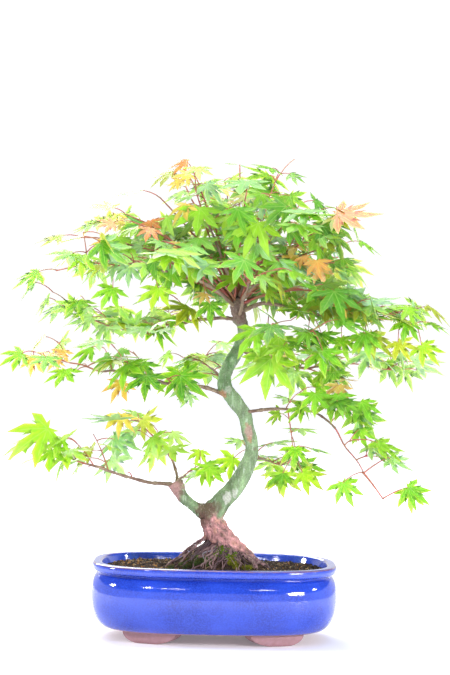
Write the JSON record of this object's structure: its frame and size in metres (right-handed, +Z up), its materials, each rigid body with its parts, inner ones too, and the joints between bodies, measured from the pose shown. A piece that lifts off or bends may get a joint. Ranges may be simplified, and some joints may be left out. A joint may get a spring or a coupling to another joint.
{
  "type": "potted bonsai tree",
  "caption": "Japanese maple bonsai with an S-curved trunk, bare surface roots and lobed green leaves, growing in a shallow oval pot with a glossy blue glaze and short feet",
  "frame": {"origin": "on the ground under the middle of the whole object's box, which the crown's spread sets", "axes": "+Z up; +X to the right along the pot's length, seen from the front; -Y towards the front, the side that shows the trunk's curve"},
  "size_m": [0.4694, 0.2846, 0.4942],
  "materials": {
    "glaze": "glossy speckled blue glaze, with bare clay on the feet and underneath",
    "plastic": "matt black",
    "wire": "plain drawn wire",
    "soil": "loose dark brown grit and compost",
    "moss": "soft living moss",
    "bark": "grey-green living bark, pinkish brown at the base",
    "twig": "smooth brown twig bark",
    "leaf": "thin living leaf, satin"
  },
  "bodies": {
    "root": {"drainage_screen_left": "plastic", "drainage_screen_right": "plastic", "limb_back_high": "twig", "limb_back_left": "twig", "limb_back_low": "twig", "limb_back_right": "twig", "limb_crown_back": "twig", "limb_crown_left": "twig", "limb_crown_right": "twig", "limb_front_high": "twig", "limb_front_left": "twig", "limb_front_right": "twig", "limb_hanging": "twig", "limb_left_reach": "twig", "limb_low_back": "twig", "limb_low_left": "twig", "limb_low_right": "twig", "limb_low_up": "twig", "limb_mid_left": "twig", "limb_right_high": "twig", "limb_right_mid": "twig", "limb_right_reach": "twig", "moss_back": "moss", "moss_front_left": "moss", "moss_front_right": "moss", "pot": "glaze", "screen_clip_left": "wire", "screen_clip_right": "wire", "soil": "soil", "spray_back_high": "leaf", "spray_back_left": "leaf", "spray_back_left_inner": "leaf", "spray_back_low": "leaf", "spray_back_right": "leaf", "spray_back_right_inner": "leaf", "spray_crown_back": "leaf", "spray_crown_left": "leaf", "spray_crown_right": "leaf", "spray_front_high": "leaf", "spray_front_left": "leaf", "spray_front_left_inner": "leaf", "spray_front_right": "leaf", "spray_hanging": "leaf", "spray_hanging_inner": "leaf", "spray_left_reach": "leaf", "spray_left_reach_inner": "leaf", "spray_low_back": "leaf", "spray_low_left": "leaf", "spray_low_left_inner": "leaf", "spray_low_right": "leaf", "spray_low_up": "leaf", "spray_mid_left": "leaf", "spray_mid_left_inner": "leaf", "spray_right_high": "leaf", "spray_right_mid": "leaf", "spray_right_mid_front": "leaf", "spray_right_reach": "leaf", "spray_right_reach_back": "leaf", "spray_right_reach_front": "leaf", "trunk": "bark"}
  },
  "joints": []
}
